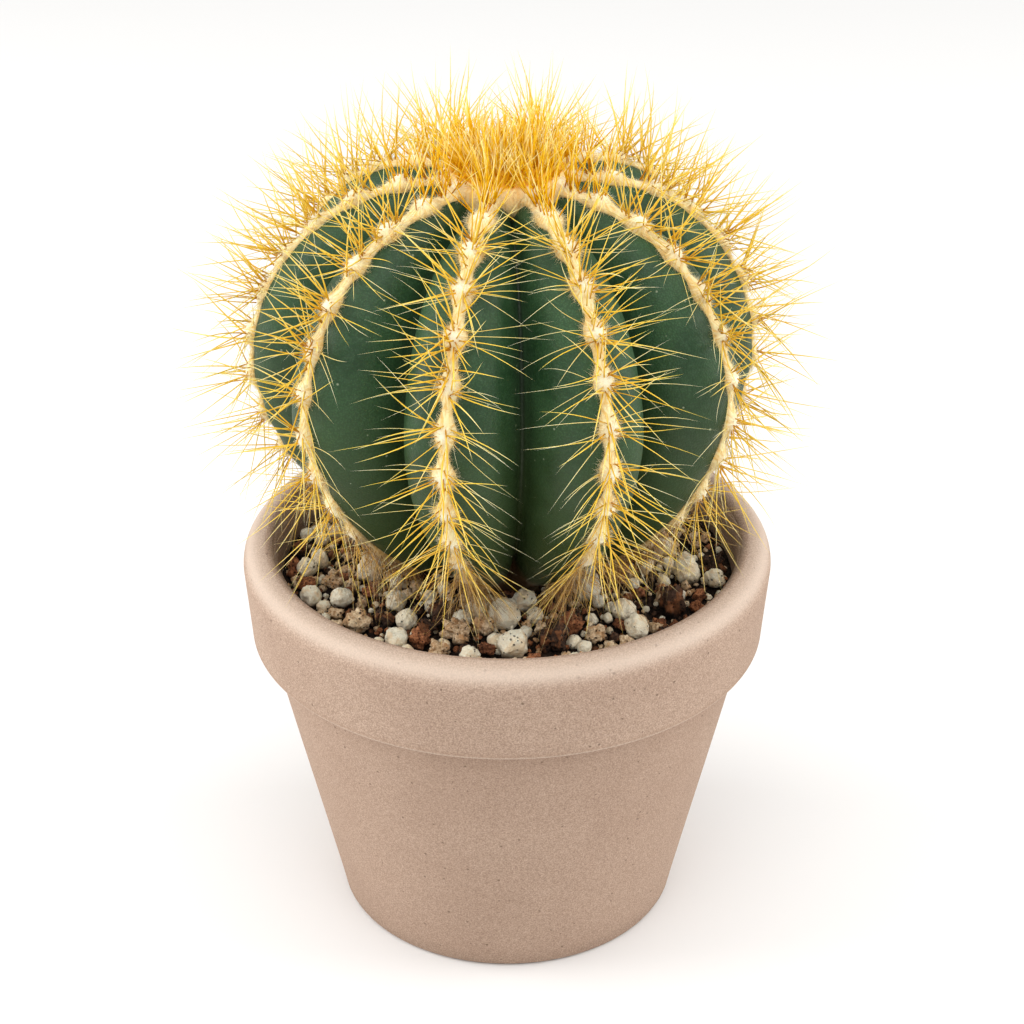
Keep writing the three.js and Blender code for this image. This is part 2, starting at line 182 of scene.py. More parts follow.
# The sizes of a fan of spines with their units. Tilt is measured from the crest's outward direction.
# Side pull draws the fan together sideways, downhill leans it, and droop lets the lowest sag. Bend, sink
# and bow are shares of the length, and stray scatters the roots along the crest.
FAN_SIZES = {
    "count": 1, "length_low": MM, "length_high": MM, "tilt_low": DEGREE, "tilt_high": DEGREE,
    "side_pull": 1, "downhill": 1, "droop": 1, "bend": 1, "sink": 1, "bow": 1, "thickness": MM,
    "root_spread": MM, "stray": MM,
}
FANS = {
    "young": (11, 9, 17, 4, 42, 0.9, -0.6, 0.0, 0.18, 0.0, 0.06, 0.15, 1.3, 1.6, "crown"),
    "upper": (10, 13, 22, 6, 52, 0.75, -0.2, 0.0, 0.13, 0.0, 0.05, 0.165, 1.2, 4.4, "golden"),
    "central": (9, 14, 22, 10, 60, 0.75, 0.1, 0.6, 0.10, 0.03, 0.03, 0.165, 0.9, 2.6, "golden"),
    "golden": (6, 15, 22, 48, 80, 0.30, 0.10, 1.2, 0.10, 0.05, 0.025, 0.135, 1.3, 1.8, "golden"),
    "pale": (8, 11, 19, 58, 92, 0.30, 0.10, 1.2, 0.13, 0.06, 0.03, 0.082, 2.5, 1.6, "pale"),
    "old": (22, 9, 18, 34, 88, 0.45, 0.1, 1.2, 0.30, 0.08, 0.06, 0.10, 2.0, 2.2, "old"),
    "brush": (20, 5, 12, 20, 75, 0.6, 1.0, 1.4, 0.35, 0.1, 0.08, 0.065, 1.8, 1.8, "withered"),
    "tuft": (1, 5, 14.5, 0, 24, 1.0, 0.0, 0.0, 0.2, -0.12, 0.10, 0.28, 0.5, 0.0, "crown"),
    "fine_tuft": (1, 4.5, 11, 0, 30, 1.0, 0.0, 0.0, 0.25, -0.1, 0.12, 0.18, 0.5, 0.0, "crown"),
}

# Where along one rib the areoles lie that bear each fan, and how high it roots above the crest (mm). The
# youngest stand close together at the crown.
AREOLE_SHARES = (np.arange(AREOLES) + 0.5) / AREOLES
BEARERS = {
    "young": (np.array([-0.034, -0.002, AREOLE_SHARES[0]]), 1.0),
    "upper": (AREOLE_SHARES[1:5], 0.9),
    "central": (AREOLE_SHARES[1:-3], 1.2),
    "golden": (AREOLE_SHARES[1:-2], 1.2),
    "pale": (AREOLE_SHARES[1:-3], 0.6),
    "old": (AREOLE_SHARES[-3:], 0.6),
    "brush": (np.linspace(0.84, 0.99, 6), 0.5),
}


# ---- node trees ----

class Wiring:
    """Places nodes in one tree and links each as it is placed."""

    def __init__(self, tree):
        self.tree = tree

    def feed(self, socket, value):
        if isinstance(value, bpy.types.NodeSocket):
            self.tree.links.new(value, socket)
        else:
            socket.default_value = value

    def node(self, kind, feeds=None, **settings):
        placed = self.tree.nodes.new(kind)
        for name, value in settings.items():
            setattr(placed, name, value)
        for key, value in (feeds or {}).items():
            self.feed(placed.inputs[key], value)
        return placed

    def math(self, operation, first, second=0.0, third=0.0, clamp=False):
        feeds = {0: first, 1: second, 2: third}
        return self.node("ShaderNodeMath", feeds, operation=operation, use_clamp=clamp).outputs[0]

    def plus(self, first, second, clamp=False):
        return self.math("ADD", first, second, clamp=clamp)

    def minus(self, first, second, clamp=False):
        return self.math("SUBTRACT", first, second, clamp=clamp)

    def times(self, first, second):
        return self.math("MULTIPLY", first, second)

    def vector(self, operation, first, second=(0, 0, 0)):
        placed = self.node("ShaderNodeVectorMath", {0: first, 1: second}, operation=operation)
        return placed.outputs["Vector"]

    def scaled(self, vector, factor):
        placed = self.node("ShaderNodeVectorMath", {0: vector, "Scale": factor}, operation="SCALE")
        return placed.outputs["Vector"]

    def sum(self, *vectors):
        total = vectors[0]
        for vector in vectors[1:]:
            total = self.vector("ADD", total, vector)
        return total

    def unit(self, *vectors):
        return self.vector("NORMALIZE", self.sum(*vectors))

    def length(self, vector):
        return self.node("ShaderNodeVectorMath", {0: vector}, operation="LENGTH").outputs["Value"]

    def xyz(self, x=0.0, y=0.0, z=0.0):
        return self.node("ShaderNodeCombineXYZ", {0: x, 1: y, 2: z}).outputs[0]

    def split(self, vector):
        return self.node("ShaderNodeSeparateXYZ", {0: vector}).outputs

    def ramp(self, value, low, high, to_low=0.0, to_high=1.0):
        feeds = {0: value, 1: low, 2: high, 3: to_low, 4: to_high}
        return self.node("ShaderNodeMapRange", feeds, interpolation_type="SMOOTHSTEP").outputs[0]

    def noise(self, place, scale, detail, **feeds):
        feeds = {label.title(): value for label, value in feeds.items()}
        feeds |= {"Vector": place, "Scale": scale, "Detail": detail}
        return self.node("ShaderNodeTexNoise", feeds).outputs[0]

    def cells(self, place, scale):
        return self.node("ShaderNodeTexVoronoi", {"Vector": place, "Scale": scale}).outputs

    def random(self, low, high, seed):
        feeds = {2: low, 3: high, "Seed": seed}
        return self.node("FunctionNodeRandomValue", feeds, data_type="FLOAT").outputs[1]

    def random_vector(self, reach, seed):
        feeds = {0: (-reach,) * 3, 1: (reach,) * 3, "Seed": seed}
        return self.node("FunctionNodeRandomValue", feeds, data_type="FLOAT_VECTOR").outputs[0]

    def stored(self, name, kind="FLOAT"):
        return self.node("GeometryNodeInputNamedAttribute", {"Name": name}, data_type=kind).outputs[0]

    def stored_vector(self, name):
        return self.stored(name, "FLOAT_VECTOR")

    def store(self, geometry, name, value):
        kind = "FLOAT_VECTOR" if value.type == "VECTOR" else "FLOAT"
        feeds = {"Geometry": geometry, "Name": name, "Value": value}
        return self.node("GeometryNodeStoreNamedAttribute", feeds, data_type=kind, domain="POINT").outputs[0]

    def moved(self, geometry, **feeds):
        feeds = {label.title(): value for label, value in feeds.items()}
        return self.node("GeometryNodeSetPosition", {"Geometry": geometry, **feeds}).outputs[0]

    def position(self):
        return self.node("GeometryNodeInputPosition").outputs[0]

    def thorn(self, sides, steps):
        """A unit cone from its root at 0 to its tip at 1, with the height along it kept as reach."""
        feeds = {"Vertices": sides, "Side Segments": steps, "Radius Top": 0.0, "Radius Bottom": 1.0}
        cone = self.node("GeometryNodeMeshCone", {**feeds, "Depth": 1.0}, fill_type="NGON").outputs[0]
        return self.store(cone, "reach", self.split(self.position())[2])

    def planted(self, points, shape, lean, girth, length):
        """One copy of a unit shape on every point, leaning its own way, as real geometry."""
        facing = self.node("FunctionNodeAlignRotationToVector", {"Vector": lean}, axis="Z").outputs[0]
        return self.copied(points, shape, facing, self.xyz(girth, girth, length))

    def copied(self, points, shape, facing, size):
        feeds = {"Points": points, "Instance": shape, "Rotation": facing, "Scale": size}
        copies = self.node("GeometryNodeInstanceOnPoints", feeds).outputs[0]
        return self.node("GeometryNodeRealizeInstances", {"Geometry": copies}).outputs[0]


def new_tree(name, kind, inputs, outputs):
    """An empty node group, with its wiring, inputs and outputs. Its sockets are listed by their type."""
    tree = bpy.data.node_groups.new(name, kind)
    for side, sockets in (("INPUT", inputs), ("OUTPUT", outputs)):
        for sort, labels in sockets.items():
            for label in labels:
                tree.interface.new_socket(label, in_out=side, socket_type=f"NodeSocket{sort}")
    wiring = Wiring(tree)
    return tree, wiring, wiring.node("NodeGroupInput").outputs, wiring.node("NodeGroupOutput").inputs


def finish_tree(w, geometry, material, end):
    """Ends a tree: real geometry, smooth faces and its material."""
    real = w.node("GeometryNodeRealizeInstances", {"Geometry": geometry}).outputs[0]
    smooth = w.node("GeometryNodeSetShadeSmooth", {"Geometry": real}).outputs[0]
    w.feed(end[0], w.node("GeometryNodeSetMaterial", {0: smooth, "Material": material}).outputs[0])


def spine_tree():
    """Fans tapered spines out of areole points that carry out, along and share."""
    tree, w, given, end = new_tree("spine_fan", "GeometryNodeTree", {
        "Geometry": ["Areoles"], "Int": ["Count", "Seed"], "Material": ["Material"],
        "Float": ["Length Low", "Length High", "Tilt Low", "Tilt High", "Side Pull", "Downhill", "Droop",
                  "Bend", "Sink", "Bow", "Thickness", "Root Spread", "Stray", "Floor Low", "Floor High"],
    }, {"Geometry": ["Spines"]})

    def drawn(low, high, step):
        return w.random(low, high, w.plus(given["Seed"], step))

    def drawn_vector(step):
        return w.random_vector(1.0, w.plus(given["Seed"], step))

    feeds = {0: given["Areoles"], "Amount": given["Count"]}
    copies = w.node("GeometryNodeDuplicateElements", feeds, domain="POINT")
    out = w.stored_vector("out")
    along = w.stored_vector("along")
    share = w.stored("share")
    side = w.unit(w.vector("CROSS_PRODUCT", along, out))

    # Each spine's direction: a turn round the areole, a tilt from the crest's outward one, and droop.
    slot = w.plus(copies.outputs["Duplicate Index"], drawn(0.0, 1.0, 1))
    turn = w.times(w.math("DIVIDE", slot, given["Count"]), FULL_TURN)
    down = w.plus(w.times(w.math("SINE", turn), given["Side Pull"]), given["Downhill"])
    fan = w.unit(w.scaled(side, w.math("COSINE", turn)), w.scaled(along, down))
    tilt = drawn(given["Tilt Low"], given["Tilt High"], 2)
    foot = w.math("POWER", w.math("MAXIMUM", share, 0.0), 4.0)
    sag = w.times(foot, given["Droop"])
    lean = w.sum(w.scaled(out, w.math("COSINE", tilt)), w.scaled(fan, w.math("SINE", tilt)))
    lean = w.unit(w.vector("SUBTRACT", lean, w.xyz(z=w.times(sag, 0.5))))
    length = drawn(given["Length Low"], given["Length High"], 3)
    length = w.times(length, w.ramp(share, 0.72, 1.0, 1.0, 0.62))

    fall = w.plus(given["Sink"], w.times(sag, 0.25))
    bend = w.sum(w.scaled(drawn_vector(4), given["Bend"]), w.xyz(z=w.times(fall, -1.0)))
    roots = w.store(copies.outputs[0], "bend", w.scaled(bend, length))
    bow = w.times(w.times(given["Bow"], length), w.plus(w.times(foot, 2.0), 1.0))
    roots = w.store(roots, "bow", w.scaled(drawn_vector(8), bow))
    roots = w.store(roots, "tone", drawn(0.0, 1.0, 5))
    spread = w.scaled(fan, w.times(given["Root Spread"], drawn(0.35, 1.0, 6)))
    stray = w.scaled(along, w.times(given["Stray"], drawn(-1.0, 1.0, 9)))
    roots = w.moved(roots, offset=w.sum(spread, stray))

    # A needle that keeps its girth for longer than a cone, then bends and bows.
    needle = w.thorn(4, 6)
    fuller = w.plus(w.stored("reach"), 1.0)
    needle = w.moved(needle, position=w.vector("MULTIPLY", w.position(), w.xyz(fuller, fuller, 1.0)))
    girth = w.times(w.times(given["Thickness"], drawn(0.8, 1.2, 7)), w.ramp(share, 0.5, 0.85, 1.0, 0.75))
    spines = w.planted(roots, needle, lean, girth, length)
    reach = w.stored("reach")
    bend = w.scaled(w.stored_vector("bend"), w.times(reach, reach))
    bow = w.scaled(w.stored_vector("bow"), w.math("SINE", w.times(reach, math.pi)))
    spines = w.moved(spines, offset=w.sum(bend, bow))

    # Low spines lie on the grit and pass over the pot's lip.
    place = w.split(w.position())
    from_axis = w.length(w.xyz(place[0], place[1], 0.0))
    grit_end, lip_start = MOUTH_RADIUS - 7 * MM, MOUTH_RADIUS - 1 * MM
    ground = w.ramp(from_axis, grit_end, lip_start, given["Floor Low"], given["Floor High"])
    ground = w.plus(ground, w.times(w.stored("tone"), 1.5 * MM))
    height = w.math("SMOOTH_MAX", place[2], ground, 2 * MM)
    spines = w.moved(spines, position=w.xyz(place[0], place[1], height))
    finish_tree(w, spines, given["Material"], end)
    return tree


def fibre_tree():
    """Covers felt with loose fibres that part from each areole, and keeps the felt itself."""
    tree, w, given, end = new_tree("felt_fibres", "GeometryNodeTree", {
        "Geometry": ["Felt"], "Int": ["Seed"], "Material": ["Material"],
        "Float": ["Density", "Length", "Thickness", "Lift", "Parting", "Ruffle"],
    }, {"Geometry": ["Felt"]})
    felt = given["Felt"]
    seed = given["Seed"]
    feeds = {"Mesh": felt, "Density": w.times(given["Density"], w.stored("cover")), "Seed": seed}
    spots = w.node("GeometryNodeDistributePointsOnFaces", feeds)
    away = w.scaled(w.stored_vector("away"), given["Parting"])
    lift = w.scaled(spots.outputs["Normal"], given["Lift"])
    lean = w.unit(lift, away, w.scaled(w.random_vector(1.0, seed), given["Ruffle"]))
    roots = w.store(spots.outputs[0], "curl", w.random_vector(0.35, w.plus(seed, 2)))
    roots = w.store(roots, "tone", w.random(0.3, 1.0, w.plus(seed, 3)))
    length = w.times(given["Length"], w.random(0.4, 1.25, w.plus(seed, 1)))
    length = w.times(length, w.stored("fluff"))
    hairs = w.planted(roots, w.thorn(3, 2), lean, given["Thickness"], length)
    pull = w.times(w.times(w.stored("reach"), w.stored("reach")), given["Length"])
    hairs = w.moved(hairs, offset=w.scaled(w.stored_vector("curl"), pull))
    joined = w.node("GeometryNodeJoinGeometry")
    for geometry in (felt, hairs):
        w.tree.links.new(geometry, joined.inputs[0])
    finish_tree(w, joined.outputs[0], given["Material"], end)
    return tree


def stone_tree():
    """Sets a rough stone on every point that carries centre, size and spin."""
    tree, w, given, end = new_tree("grit_stones", "GeometryNodeTree", {
        "Geometry": ["Places"], "Int": ["Detail", "Seed"], "Material": ["Material"],
        "Float": ["Lump", "Lump Scale", "Chip", "Chip Scale", "Rough", "Boxy"],
    }, {"Geometry": ["Stones"]})
    ball = w.node("GeometryNodeMeshIcoSphere", {"Radius": 1.0, "Subdivisions": given["Detail"]}).outputs[0]
    ball = w.store(ball, "skin", w.position())
    roots = w.store(given["Places"], "tone", w.random(0.0, 1.0, given["Seed"]))
    facing = w.node("FunctionNodeEulerToRotation", {0: w.stored_vector("spin")}).outputs[0]
    stones = w.copied(roots, ball, facing, w.stored_vector("size"))

    # Each stone reads its own part of the noise on its unit ball.
    skin = w.stored_vector("skin")
    own = w.sum(skin, w.scaled((7.1, 3.3, 5.7), w.times(w.stored("tone"), 40.0)))
    lump = w.times(w.minus(w.noise(own, given["Lump Scale"], 2.0), 0.5), given["Lump"])
    rough = w.times(w.minus(w.noise(own, 5.0, 3.0), 0.5), given["Rough"])
    chip = w.times(w.cells(own, given["Chip Scale"])["Distance"], given["Chip"])
    push = w.minus(w.plus(lump, rough), chip)
    corners = w.split(w.vector("MULTIPLY", skin, skin))
    fourth = [w.times(corner, corner) for corner in corners]
    box = w.math("POWER", w.plus(w.plus(fourth[0], fourth[1]), fourth[2]), -0.25)
    push = w.plus(push, w.times(w.minus(box, 1.15), given["Boxy"]))
    away = w.vector("SUBTRACT", w.position(), w.stored_vector("centre"))
    stones = w.moved(stones, offset=w.scaled(away, push))
    finish_tree(w, stones, given["Material"], end)
    return tree


def grown(name, mesh, tree, **values):
    """Runs a node tree on a mesh and leaves the result as a plain mesh piece."""
    piece = bpy.data.objects.new(name, mesh)
    bpy.context.scene.collection.objects.link(piece)
    growth = piece.modifiers.new("growth", "NODES")
    growth.node_group = tree
    sockets = {item.name: item.identifier for item in tree.interface.items_tree if item.in_out == "INPUT"}
    for label, value in values.items():
        growth[sockets[label.replace("_", " ").title()]] = value
    depsgraph = bpy.context.evaluated_depsgraph_get()
    result = bpy.data.meshes.new_from_object(
        piece.evaluated_get(depsgraph), preserve_all_data_layers=True, depsgraph=depsgraph
    )
    piece.modifiers.remove(growth)
    piece.data = result
    return piece


# ---- shader groups and materials ----

def object_place(w):
    return w.node("ShaderNodeTexCoord").outputs["Object"]


def attribute(w, name, output="Fac"):
    return w.node("ShaderNodeAttribute", attribute_name=name).outputs[output]


def grain_group():
    """Fine grain as a height, and a mask that wanders between 0 and 1 in broad patches."""
    tree, w, given, end = new_tree("grain", "ShaderNodeTree", {
        "Vector": ["Place"], "Float": ["Fine Scale", "Broad Scale"],
    }, {"Float": ["Height", "Mottle"]})
    w.feed(end["Height"], w.noise(given["Place"], given["Fine Scale"], 4.0, roughness=0.65))
    broad = w.noise(given["Place"], given["Broad Scale"], 5.0, distortion=0.3)
    w.feed(end["Mottle"], w.ramp(broad, 0.32, 0.68))
    return tree


def fleck_group():
    """Small separate flecks: 1 on a fleck and 0 between, with Share of the cells bearing one."""
    tree, w, given, end = new_tree("flecks", "ShaderNodeTree", {
        "Vector": ["Place"], "Float": ["Scale", "Radius", "Share"],
    }, {"Float": ["Mask"]})
    cells = w.cells(given["Place"], given["Scale"])
    draws = w.split(cells["Color"])
    chosen = w.math("LESS_THAN", draws[0], given["Share"])
    spread = w.times(given["Radius"], w.ramp(draws[1], 0.0, 1.0, 0.5, 1.0))
    spot = w.minus(1.0, w.math("DIVIDE", cells["Distance"], spread), clamp=True)
    w.feed(end["Mask"], w.times(chosen, w.ramp(spot, 0.0, 0.5)))
    return tree


def use(w, group, **values):
    placed = w.node("ShaderNodeGroup")
    placed.node_tree = group
    for label, value in values.items():
        w.feed(placed.inputs[label.replace("_", " ").title()], value)
    return placed.outputs


def blend(w, factor, first, second):
    placed = w.node("ShaderNodeMix", data_type="RGBA", blend_type="MIX")
    w.feed(placed.inputs["Factor"], factor)
    for key, value in ((6, first), (7, second)):
        w.feed(placed.inputs[key], value if isinstance(value, bpy.types.NodeSocket) else (*value, 1.0))
    return placed.outputs[2]


def coats(w, colour, layers):
    """Lays coats over a colour. Each is a mask, the strength it has there and a colour of its own."""
    for mask, strength, coat in layers:
        colour = blend(w, mask if strength == 1 else w.times(mask, strength), colour, coat)
    return colour


def colour_ramp(w, value, colours):
    """Colours spaced evenly from 0 to 1."""
    placed = w.node("ShaderNodeValToRGB", {0: value})
    elements = placed.color_ramp.elements
    for _ in colours[2:]:
        elements.new(0.5)
    for index, colour in enumerate(colours):
        elements[index].position = index / (len(colours) - 1)
        elements[index].color = (*colour, 1.0)
    return placed.outputs[0]


def new_material(name, roughness, specular, glow=0.0):
    material = bpy.data.materials.new(name)
    material.use_nodes = True
    shader = material.node_tree.nodes["Principled BSDF"]
    shader.inputs["Roughness"].default_value = roughness
    shader.inputs["Specular IOR Level"].default_value = specular
    shader.inputs["Subsurface Weight"].default_value = glow
    shader.inputs["Subsurface Radius"].default_value = (1.0, 1.0, 1.0)
    shader.inputs["Subsurface Scale"].default_value = 0.12 * MM
    return material, Wiring(material.node_tree), shader.inputs


def surfaced(w, shader, colour, height, strength, distance):
    """Feeds the shader its colour, and a bump from a height."""
    w.feed(shader["Base Color"], colour)
    feeds = {"Height": height, "Strength": strength, "Distance": distance}
    w.feed(shader["Normal"], w.node("ShaderNodeBump", feeds).outputs[0])


def clay_material(grain, flecks):
    """Taupe clay: sandy grain, tiny dark pits, pale edges that are partly wear and partly painted highlight,
    and painted shade under the rim band and down the wall.
    """
    material, w, shader = new_material("unglazed_clay", 0.9, 0.2)
    place = object_place(w)
    soft = use(w, grain, place=place, fine_scale=2900.0, broad_scale=38.0)
    sand = use(w, flecks, place=place, scale=2600.0, radius=0.55, share=0.5)["Mask"]
    pits = use(w, flecks, place=place, scale=420.0, radius=0.17, share=0.5)["Mask"]
    bright = blend(w, soft["Mottle"], (0.450, 0.320, 0.240), (0.488, 0.353, 0.267))
    dull = blend(w, 0.62, bright, (0.21, 0.135, 0.095))
    colour = coats(w, blend(w, w.ramp(soft["Height"], 0.40, 0.60), dull, bright), [
        (sand, 0.30, (0.72, 0.56, 0.45)),
        (pits, 0.7, (0.14, 0.09, 0.06)),
        # Painted shade below the rim band, together with the thin darker line at the band's foot.
        (attribute(w, "shade"), 1, (0.30, 0.19, 0.13)),
        # Pale edges: partly wear, partly painted highlight.
        (attribute(w, "edge"), 1, (0.69, 0.57, 0.475)),
    ])
    height = w.minus(w.plus(soft["Height"], w.times(sand, 0.35)), w.times(pits, 1.5))
    surfaced(w, shader, colour, height, 0.5, 0.16 * MM)
    return material


def skin_material(grain, flecks):
    """Satin blue-green skin with a pebbled grain and pale dots, painted shade in the grooves, olive below.
    """
    material, w, shader = new_material("cactus_skin", 0.55, 0.3)
    place = object_place(w)
    soft = use(w, grain, place=place, fine_scale=900.0, broad_scale=70.0)
    pebbles = w.cells(place, 2300.0)["Distance"]
    dots = use(w, flecks, place=place, scale=520.0, radius=0.2, share=0.12)["Mask"]
    flank = attribute(w, "flank")
    foot = attribute(w, "foot")
    colour = coats(w, blend(w, soft["Mottle"], (0.014, 0.050, 0.016), (0.036, 0.098, 0.035)), [
        (w.ramp(soft["Height"], 0.4, 0.7), 0.3, (0.065, 0.125, 0.068)),
        (w.ramp(pebbles, 0.1, 0.7), 0.45, (0.010, 0.026, 0.010)),
        # Painted shade: the flanks darken into each groove, with a darker painted line of shade along its
        # bottom.
        (w.ramp(flank, 0.8, 1.0), 0.65, (0.016, 0.036, 0.014)),
        (w.ramp(flank, 0.94, 0.975), 0.7, (0.006, 0.010, 0.005)),
        (w.ramp(foot, 0.35, 0.85), 0.75, (0.029, 0.047, 0.009)),
        (w.ramp(foot, 0.93, 1.0), 1, (0.14, 0.085, 0.04)),
        (dots, 0.6, (0.32, 0.36, 0.24)),
    ])
    w.feed(shader["Roughness"], w.ramp(soft["Mottle"], 0.0, 1.0, 0.42, 0.58))
    surfaced(w, shader, colour, w.minus(soft["Height"], w.times(pebbles, 0.7)), 0.35, 0.25 * MM)
    return material


def felt_material(grain):
    """Cream wool whose strands part from each areole: pale on the pads, golden between, tan below."""
    material, w, shader = new_material("cream_felt", 0.95, 0.05, 0.5)
    soft = use(w, grain, place=object_place(w), fine_scale=1800.0, broad_scale=300.0)
    strands = w.noise(attribute(w, "strand", "Vector"), 1.0, 3.0)
    colour = coats(w, blend(w, w.ramp(strands, 0.38, 0.58), (0.86, 0.60, 0.22), (0.99, 0.88, 0.55)), [
        (soft["Mottle"], 0.25, (0.96, 0.77, 0.36)),
        (attribute(w, "pad"), 0.8, (1.0, 0.96, 0.80)),
        (w.ramp(attribute(w, "cover"), 0.6, 1.05), 0.5, (0.87, 0.59, 0.21)),
        (attribute(w, "tone"), 0.3, (1.0, 0.88, 0.52)),
        (attribute(w, "heart"), 1, (0.85, 0.42, 0.015)),
        (w.ramp(attribute(w, "foot"), 0.68, 0.95), 0.85, (0.46, 0.27, 0.09)),
    ])
    height = w.plus(w.times(strands, 1.5), w.times(soft["Height"], 0.5))
    surfaced(w, shader, colour, height, 0.4, 0.3 * MM)
    return material


def spine_material(name, colours, foot_colour, roughness, grain):
    """Spines coloured from root to tip, each with its own tone, duller towards the foot of the stem."""
    material, w, shader = new_material(name, roughness, 0.03, 0.8)
    soft = use(w, grain, place=object_place(w), fine_scale=2600.0, broad_scale=320.0)
    tone = w.ramp(attribute(w, "tone"), 0.0, 1.0, -0.2, 0.15)
    walk = w.plus(w.math("SQRT", attribute(w, "reach")), tone)
    walk = w.plus(walk, w.ramp(soft["Mottle"], 0.0, 1.0, -0.08, 0.08))
    low = w.ramp(attribute(w, "share"), 0.55, 0.9)
    colour = coats(w, colour_ramp(w, walk, colours), [(low, 0.75, foot_colour)])
    surfaced(w, shader, colour, soft["Height"], 0.15, 0.1 * MM)
    return material


def stone_material(name, dark, light, stain, pore_and_shade, pore_share, grain, flecks):
    """Porous stone: a tone for each stone, stained in patches, with painted shade low down and dark pores.
    """
    material, w, shader = new_material(name, 0.92, 0.2)
    place = object_place(w)
    soft = use(w, grain, place=place, fine_scale=1500.0, broad_scale=330.0)
    pores = use(w, flecks, place=place, scale=1300.0, radius=0.45, share=pore_share)["Mask"]
    mineral = w.ramp(soft["Height"], 0.35, 0.65, 0.0, 0.6)
    tone = w.plus(w.times(attribute(w, "tone"), 0.5), mineral, clamp=True)
    above = w.minus(w.split(place)[2], w.split(attribute(w, "centre", "Vector"))[2])
    half = w.math("MAXIMUM", w.split(attribute(w, "size", "Vector"))[2], 0.1 * MM)
    colour = coats(w, blend(w, tone, dark, light), [
        (w.ramp(soft["Mottle"], 0.5, 0.95), 0.6, stain),
        # Painted shade: each stone darkens towards its underside, down to its pore colour.
        (w.ramp(w.math("DIVIDE", above, half), -0.85, -0.1, 0.95, 0.0), 1, pore_and_shade),
        (pores, 0.8, pore_and_shade),
    ])
    surfaced(w, shader, colour, w.minus(soft["Height"], w.times(pores, 1.4)), 1.0, 0.7 * MM)
    return material


def floor_material():
    material, w, shader = new_material("white_sweep", 0.9, 0.1)
    soft = w.noise(object_place(w), 3.0, 2.0)
    w.feed(shader["Base Color"], blend(w, soft, (0.80, 0.796, 0.788), (0.815, 0.811, 0.803)))
    return material


# ---- mesh helpers ----

def store(mesh, name, values):
    values = np.asarray(values, np.float32)
    kind = "FLOAT_VECTOR" if values.ndim == 2 else "FLOAT"
    field = "vector" if values.ndim == 2 else "value"
    mesh.attributes.new(name, kind, "POINT").data.foreach_set(field, values.reshape(-1))


def ring_mesh(name, rings, start=None, end=None, **values):
    """A mesh over rings of points, ended by a point at each end, or closed on itself if it has no ends."""
    rings = np.asarray(rings, float)
    count, width, _ = rings.shape
    points = rings.reshape(-1, 3).tolist()
    place = np.arange(width)
    beside = (place + 1) % width
    faces = []
    for ring in range(count if start is None else count - 1):
        here, below = ring * width, ((ring + 1) % count) * width
        faces += np.column_stack([here + place, below + place, below + beside, here + beside]).tolist()
    if start is not None:
        top = len(points)
        last = top - width
        points += [list(start), list(end)]
        faces += [[top, int(a), int(b)] for a, b in zip(place, beside)]
        faces += [[top + 1, int(last + b), int(last + a)] for a, b in zip(place, beside)]
    mesh = bpy.data.meshes.new(name)
    mesh.from_pydata(points, [], faces)
    mesh.shade_smooth()
    for label, numbers in values.items():
        numbers = np.asarray(numbers, float).reshape(count * width, -1)
        spare = np.repeat(numbers[-1:], len(points) - len(numbers), axis=0)
        store(mesh, label, np.concatenate([numbers, spare]).squeeze())
    mesh.update()
    return mesh


def point_mesh(name, points, **values):
    mesh = bpy.data.meshes.new(name)
    mesh.from_pydata(np.asarray(points).tolist(), [], [])
    for label, numbers in values.items():
        store(mesh, label, numbers)
    return mesh


def placed(name, mesh, material):
    piece = bpy.data.objects.new(name, mesh)
    mesh.materials.append(material)
    bpy.context.scene.collection.objects.link(piece)
    return piece


def around(radius, angle, height):
    """Points at a radius and an angle from the front, positive towards +X."""
    radius, angle, height = np.broadcast_arrays(radius, angle, height)
    return np.stack([radius * np.sin(angle), -radius * np.cos(angle), height], axis=-1)


def even_angles(count):
    return np.linspace(0, FULL_TURN, count, endpoint=False)


def turned_about_axis(vectors, angle):
    cos, sin = math.cos(angle), math.sin(angle)
    turn = np.array([[cos, -sin, 0], [sin, cos, 0], [0, 0, 1]])
    return np.asarray(vectors) @ turn.T


def arc(middle, radius, start, stop, steps):
    angles = np.radians(np.linspace(start, stop, steps + 1))
    return [(middle[0] + radius * math.cos(a), middle[1] + radius * math.sin(a)) for a in angles]


def straight(start, stop, steps):
    """The points strictly between two ends."""
    start, stop = np.array(start), np.array(stop)
    return [tuple(start + (stop - start) * step / steps) for step in range(1, steps)]


def ripple(waves, *angles):
    """A smooth uneven value between -1 and 1: the mean of sines, each with its frequencies and its phase."""
    total = 0
    for *frequencies, phase in waves:
        total = total + np.sin(sum(f * a for f, a in zip(frequencies, angles)) + phase)
    return total / len(waves)


# ---- clay pot ----

def pot_inner_radius(height):
    bottom = BASE_RADIUS - WALL_THICKNESS
    top = WALL_TOP_RADIUS - WALL_THICKNESS
    if height <= BAND_FOOT:
        return bottom + (top - bottom) * height / BAND_FOOT
    return top + (MOUTH_RADIUS - top) * (height - BAND_FOOT) / RIM_BAND


